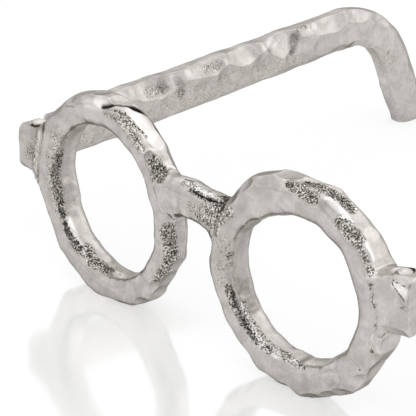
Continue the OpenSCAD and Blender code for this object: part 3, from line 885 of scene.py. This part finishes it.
def addNode(tree, kind, values=(), **settings):
    node = tree.nodes.new(kind)
    for key, value in settings.items():
        setattr(node, key, value)
    for key, value in dict(values).items():
        if isinstance(value, bpy.types.NodeSocket):
            tree.links.new(value, node.inputs[key])
        else:
            node.inputs[key].default_value = value
    return node


def compute(tree, operation, *values):
    return addNode(tree, "ShaderNodeMath", dict(enumerate(values)), operation=operation).outputs[0]


def remap(tree, value, low, high, toLow=0.0, toHigh=1.0, **settings):
    limits = {"Value": value, "From Min": low, "From Max": high, "To Min": toLow, "To Max": toHigh}
    return addNode(tree, "ShaderNodeMapRange", limits, **settings).outputs[0]


def noiseIn(tree, place, scale, detail, roughness=0.5, distortion=0.0):
    look = {"Scale": scale, "Detail": detail, "Roughness": roughness, "Distortion": distortion}
    return addNode(tree, "ShaderNodeTexNoise", {"Vector": place, **look}).outputs["Fac"]


def blendColour(tree, factor, a, b):
    return addNode(tree, "ShaderNodeMix", {"Factor": factor, 6: a, 7: b}, data_type="RGBA").outputs[2]


def blendValue(tree, factor, a, b):
    return addNode(tree, "ShaderNodeMix", {"Factor": factor, 2: a, 3: b}, data_type="FLOAT").outputs[0]


def scaled(tree, place, scale):
    return addNode(tree, "ShaderNodeVectorMath", {0: place, "Scale": scale}, operation="SCALE").outputs[0]


def addBump(tree, strength, distance, height, under=None):  # distance in millimetres
    values = {"Strength": strength, "Distance": distance * mm, "Height": height}
    if under is not None:
        values["Normal"] = under
    return addNode(tree, "ShaderNodeBump", values).outputs[0]


# An empty node group with named sockets, and its vector divided by the size of its marks
def makeGroup(name, inputs, outputs):
    group = bpy.data.node_groups.new(name, "ShaderNodeTree")
    group.interface.new_socket("Vector", in_out="INPUT", socket_type="NodeSocketVector")
    for title, value in inputs.items():
        socket = group.interface.new_socket(title, in_out="INPUT", socket_type="NodeSocketFloat")
        socket.default_value = value
    for title in outputs:
        group.interface.new_socket(title, in_out="OUTPUT", socket_type="NodeSocketFloat")
    given = group.nodes.new("NodeGroupInput").outputs
    place = scaled(group, given["Vector"], compute(group, "DIVIDE", 1.0, given["Size"]))
    return group, given, place


def putOut(group, results):
    made = group.nodes.new("NodeGroupOutput").inputs
    for title, value in results.items():
        group.links.new(value, made[title])
    return group


# Fine, wide and broad are noises of (scale, detail, roughness, distortion), as far as they are given.
# Other pairs are values to be spread over 0 to 1, or over the two values that follow them.
fileMarks = {
    "size": 1.6, "fine": (1.0, 4.0, 0.65), "wide": (0.22, 3.0, 0.5, 0.8), "contrast": (0.35, 0.65),
}


def makeDressing():  # marks of files and wheels over the whole casting
    look = fileMarks
    group, _, place = makeGroup("dressing", {"Size": look["size"]}, ["Height", "Cloud", "Grain"])
    fine = noiseIn(group, place, *look["fine"])
    cloud = remap(group, noiseIn(group, place, *look["wide"]), *look["contrast"])
    grain = remap(group, fine, *look["contrast"])
    return putOut(group, {"Cloud": cloud, "Grain": grain, "Height": fine})


oldSkinAndShade = {
    "size": 0.95, "broad": (0.25, 3.0), "uneven": (0.35, 0.65, 0.6, 1.3), "fine": (1.0, 2.5, 0.6),
    "lift": 0.16, "pits": (0.58, 0.74), "there": (0.1, 0.35), "stain": (0.02, 0.75),
    "grains": (0.46, 0.36),
}


def makeCastSkinAndShade():  # pits and stains that no tool has reached, partly painted shade, and bright grains between them that are partly painted highlights
    look = oldSkinAndShade
    group, given, place = makeGroup("castSkin", {"Skin": 0.0, "Size": look["size"]},
                                    ["Stain", "Pits", "Grains", "Height"])
    uneven = remap(group, noiseIn(group, place, *look["broad"]), *look["uneven"])
    amount = compute(group, "MULTIPLY", uneven, given["Skin"])
    fine = noiseIn(group, place, *look["fine"])
    dark = remap(group, compute(group, "MULTIPLY_ADD", amount, look["lift"], fine), *look["pits"])
    there = remap(group, amount, *look["there"])
    pits = compute(group, "MULTIPLY", dark, there)
    grains = compute(group, "MULTIPLY", remap(group, fine, *look["grains"]), there)
    depth = compute(group, "ADD", pits, compute(group, "MULTIPLY", fine, there))
    return putOut(group, {"Stain": remap(group, amount, *look["stain"]), "Pits": pits, "Grains": grains,
                          "Height": compute(group, "SUBTRACT", 0.0, depth)})


dressing, castSkin = makeDressing(), makeCastSkinAndShade()


def startMetal(name):
    material = bpy.data.materials.new(name)
    material.use_nodes = True
    tree = material.node_tree
    shader = tree.nodes["Principled BSDF"]
    shader.inputs["Metallic"].default_value = 1.0
    place = scaled(tree, addNode(tree, "ShaderNodeTexCoord").outputs["Object"], 1 / mm)
    return material, tree, shader.inputs, place


# The burnished colour is partly painted highlight, and the stained and crack colours partly painted shade.
castMetal = {
    "polished": (0.64, 0.61, 0.583, 1), "shaded": (0.53, 0.502, 0.475, 1), "grain": (0.44, 0.415, 0.39, 1),
    "stained": (0.36, 0.34, 0.3, 1), "burnished": (0.88, 0.86, 0.83, 1), "pit": (0.05, 0.045, 0.037, 1),
    "crack": (0.016, 0.014, 0.012, 1), "edge": (0.45, 0.44, 0.42, 1), "smooth": 0.2, "dull": 0.3,
    "rough": 0.42, "grainShare": 0.45, "fileBump": (0.25, 0.3), "skinBump": (0.8, 0.35),
}


def makeCastMetal():
    look = castMetal
    material, tree, shader, place = startMetal("castMetal")
    shader["Specular Tint"].default_value = look["edge"]
    skin, shine, soot = (addNode(tree, "ShaderNodeAttribute", attribute_name=title).outputs["Fac"]
                         for title in casting["marks"])
    dressed = addNode(tree, "ShaderNodeGroup", node_tree=dressing)
    tree.links.new(place, dressed.inputs["Vector"])
    rough = addNode(tree, "ShaderNodeGroup", node_tree=castSkin)
    tree.links.new(place, rough.inputs["Vector"])
    tree.links.new(skin, rough.inputs["Skin"])
    dressed, rough = dressed.outputs, rough.outputs
    tint = blendColour(tree, dressed["Cloud"], look["polished"], look["shaded"])
    grain = compute(tree, "MULTIPLY", dressed["Grain"], look["grainShare"])
    # Painted shade and painted highlights are mixed in here with the real stains, pits and cracks.
    for share, colour in ((grain, "grain"), (rough["Stain"], "stained"), (shine, "burnished"),
                          (rough["Grains"], "burnished"), (rough["Pits"], "pit"), (soot, "crack")):
        tint = blendColour(tree, share, tint, look[colour])
    tree.links.new(tint, shader["Base Color"])
    gloss = blendValue(tree, dressed["Cloud"], look["smooth"], look["dull"])
    gloss = blendValue(tree, rough["Stain"], gloss, look["rough"])
    tree.links.new(gloss, shader["Roughness"])
    bump = addBump(tree, *look["fileBump"], dressed["Height"])
    tree.links.new(addBump(tree, *look["skinBump"], rough["Height"], bump), shader["Normal"])
    return material


pinSteel = {
    "bright": (0.66, 0.64, 0.61, 1), "worn": (0.5, 0.48, 0.455, 1), "smooth": 0.16, "dull": 0.3,
    "markSize": 0.8, "bump": (0.15, 0.2),
}


def makePinSteel():
    look = pinSteel
    material, tree, shader, place = startMetal("pinSteel")
    dressed = addNode(tree, "ShaderNodeGroup", node_tree=dressing)
    dressed.inputs["Size"].default_value = look["markSize"]
    tree.links.new(place, dressed.inputs["Vector"])
    dressed = dressed.outputs
    tree.links.new(blendColour(tree, dressed["Cloud"], look["bright"], look["worn"]), shader["Base Color"])
    tree.links.new(blendValue(tree, dressed["Cloud"], look["smooth"], look["dull"]), shader["Roughness"])
    tree.links.new(addBump(tree, *look["bump"], dressed["Height"]), shader["Normal"])
    return material


metal, steel = makeCastMetal(), makePinSteel()
for piece in castings:
    piece.data.materials.clear()
    piece.data.materials.append(metal)
for name in ("left_hinge_pin", "right_hinge_pin", "bridge_dowels", "endpiece_dowels"):
    frame["nodes"][name].data.materials.clear()
    frame["nodes"][name].data.materials.append(steel)
print("finishes made")

# Stage: a white floor in a light tent, which is dark behind the camera, brightest on the camera's right
# and a little brighter behind the sculpture. Turns are in degrees from +X towards +Y, heights above the
# horizon. Matt surfaces are lit evenly. The seam is a dim band where tent and floor meet, seen in the
# metal. The floor mirrors only in front of the rims, where Y is below the values of mirrorY.

stage = {
    "floorRadius": 4.0, "floorCorners": 96, "floorColour": (0.86, 0.86, 0.86, 1), "glow": 0.75,
    "glowInMetal": 0.3, "mirror": 0.27, "mirrorRough": 0.12, "mirrorY": (-0.14, -0.17),
    "tent": 1.0, "tentForShade": 1.1,
    "seam": {"height": 0.012, "inner": 0.01, "outer": 0.045, "add": -0.5},
    "boxSize": (2.6, 2.6), "boxPlace": (0.15, 0.1, 1.25), "boxGlow": 0.3,
    "lobes": [{"turn": -43, "height": 22, "inner": 12, "outer": 30, "add": -0.5},
              {"turn": 47, "height": 27, "inner": 22, "outer": 44, "add": 0.38},
              {"turn": 137, "height": 26, "inner": 15, "outer": 45, "add": 0.14}],
}


def makeFloor():
    bpy.ops.mesh.primitive_circle_add(vertices=stage["floorCorners"], radius=stage["floorRadius"],
                                      fill_type="NGON", location=(0, 0, 0))
    floor = bpy.context.object
    floor.name = "floor"
    material = bpy.data.materials.new("whiteFloor")
    material.use_nodes = True
    tree = material.node_tree
    tree.nodes.clear()
    rays = addNode(tree, "ShaderNodeLightPath").outputs
    white = addNode(tree, "ShaderNodeEmission", {"Color": (1, 1, 1, 1), "Strength": 1.0}).outputs[0]
    paint = addNode(tree, "ShaderNodeBsdfDiffuse", {"Color": stage["floorColour"]}).outputs[0]
    seen = compute(tree, "MAXIMUM", rays["Is Camera Ray"], rays["Is Glossy Ray"])
    seen = compute(tree, "MAXIMUM", seen, rays["Is Transmission Ray"])
    share = blendValue(tree, rays["Is Camera Ray"], stage["glowInMetal"], stage["glow"])
    share = compute(tree, "MULTIPLY", seen, share)
    lit = addNode(tree, "ShaderNodeMixShader", {0: share, 1: paint, 2: white}).outputs[0]
    sheen = {"Color": (1, 1, 1, 1), "Roughness": stage["mirrorRough"]}
    gloss = addNode(tree, "ShaderNodeBsdfGlossy", sheen).outputs[0]
    place = addNode(tree, "ShaderNodeTexCoord").outputs["Object"]
    back = addNode(tree, "ShaderNodeSeparateXYZ", {0: place}).outputs["Y"]
    near = remap(tree, back, *stage["mirrorY"], toHigh=stage["mirror"])
    mixed = addNode(tree, "ShaderNodeMixShader", {0: near, 1: lit, 2: gloss}).outputs[0]
    tree.links.new(mixed, addNode(tree, "ShaderNodeOutputMaterial").inputs["Surface"])
    floor.data.materials.append(material)


def makeTent():
    world = bpy.data.worlds.new("tent")
    bpy.context.scene.world = world
    world.use_nodes = True
    tree = world.node_tree
    tree.nodes.clear()
    rays = addNode(tree, "ShaderNodeLightPath").outputs
    way = addNode(tree, "ShaderNodeTexCoord").outputs["Generated"]
    level = stage["tent"]
    for lobe in stage["lobes"]:
        turn, height = math.radians(lobe["turn"]), math.radians(lobe["height"])
        flat = math.cos(height)
        middle = (math.cos(turn) * flat, math.sin(turn) * flat, math.sin(height))
        near = addNode(tree, "ShaderNodeVectorMath", {0: way, 1: middle}, operation="DOT_PRODUCT")
        outer, inner = (math.cos(math.radians(lobe[key])) for key in ("outer", "inner"))
        extra = remap(tree, near.outputs["Value"], outer, inner, 0.0, lobe["add"],
                      interpolation_type="SMOOTHSTEP")
        level = compute(tree, "ADD", level, extra)
    seam = stage["seam"]
    above = addNode(tree, "ShaderNodeSeparateXYZ", {0: way}).outputs["Z"]
    away = compute(tree, "ABSOLUTE", compute(tree, "SUBTRACT", above, seam["height"]))
    dim = remap(tree, away, seam["outer"], seam["inner"], 0.0, seam["add"],
                interpolation_type="SMOOTHSTEP")
    level = compute(tree, "ADD", level, dim)
    level = blendValue(tree, rays["Is Glossy Ray"], stage["tentForShade"], level)
    level = blendValue(tree, rays["Is Camera Ray"], level, 1.0)
    glow = addNode(tree, "ShaderNodeBackground", {"Color": (1, 1, 1, 1), "Strength": level})
    tree.links.new(glow.outputs[0], addNode(tree, "ShaderNodeOutputWorld").inputs["Surface"])


def makeSoftbox():
    lamp = bpy.data.lights.new("softbox", "AREA")
    lamp.shape = "RECTANGLE"
    lamp.size, lamp.size_y = stage["boxSize"]
    lamp.energy = stage["boxGlow"] * math.pi * lamp.size * lamp.size_y
    holder = bpy.data.objects.new("softbox", lamp)
    holder.location = stage["boxPlace"]
    bpy.context.scene.collection.objects.link(holder)


# Fitted to the outline in the photograph, in metres, degrees and millimetres
view = {"place": (0.64679, -0.7579, 0.46959), "tilt": 65.803, "turn": 47.008, "lens": 166.34, "sensor": 36}


def makeCamera():
    camera = bpy.data.objects.new("camera", bpy.data.cameras.new("camera"))
    camera.location = view["place"]
    camera.rotation_euler = (math.radians(view["tilt"]), 0, math.radians(view["turn"]))
    camera.data.lens = view["lens"]
    camera.data.sensor_width = view["sensor"]
    bpy.context.scene.collection.objects.link(camera)
    bpy.context.scene.camera = camera


makeFloor()
makeTent()
makeSoftbox()
makeCamera()
bpy.context.scene.view_settings.view_transform = "Standard"
print("stage set")
